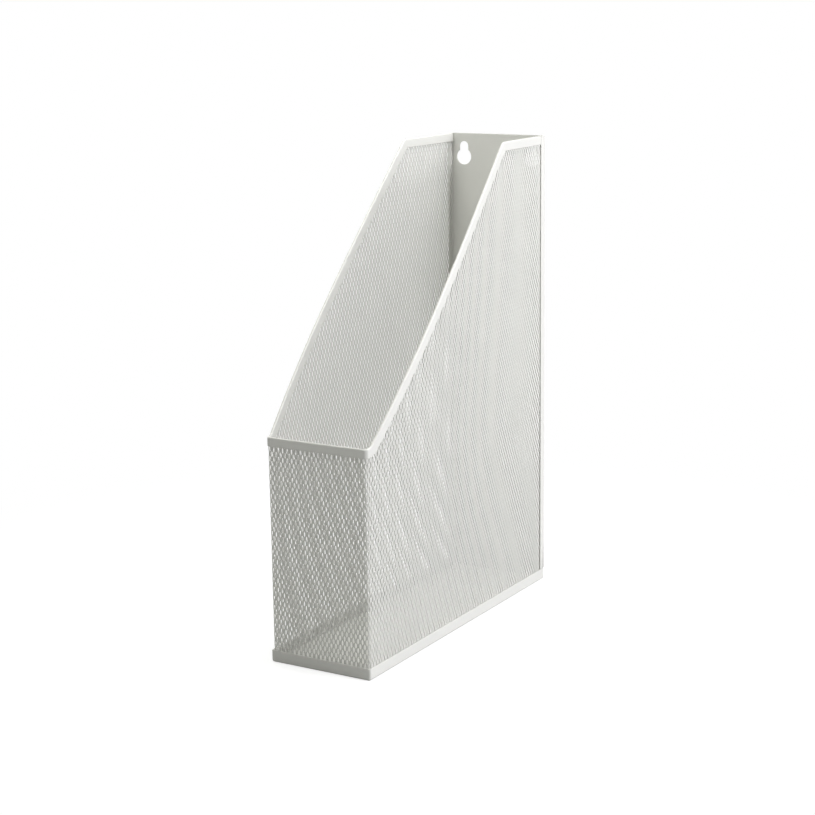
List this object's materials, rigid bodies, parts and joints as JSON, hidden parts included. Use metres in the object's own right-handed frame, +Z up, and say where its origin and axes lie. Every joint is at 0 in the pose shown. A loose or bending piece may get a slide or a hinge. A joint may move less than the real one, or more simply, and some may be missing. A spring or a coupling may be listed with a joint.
{
  "type": "magazine file holder",
  "caption": "Upright desk file for magazines, mesh sides and front with a sloping cut-away opening, solid back with keyholes and solid base.",
  "frame": {"origin": "centre of the footprint on the surface the holder stands on", "axes": "+X to the holder's right seen from the front, +Y from the low front to the solid back, +Z up"},
  "size_m": [0.0838, 0.24, 0.32],
  "materials": {
    "sheet_paint": "light warm grey powder coat, satin",
    "mesh_paint": "light warm grey powder coat on expanded metal, satin",
    "rim_paint": "light warm grey powder coat, satin"
  },
  "bodies": {
    "root": {"base_tray": "sheet_paint", "back_panel": "sheet_paint", "mesh_wrap": "mesh_paint", "opening_rim": "rim_paint"}
  },
  "joints": []
}
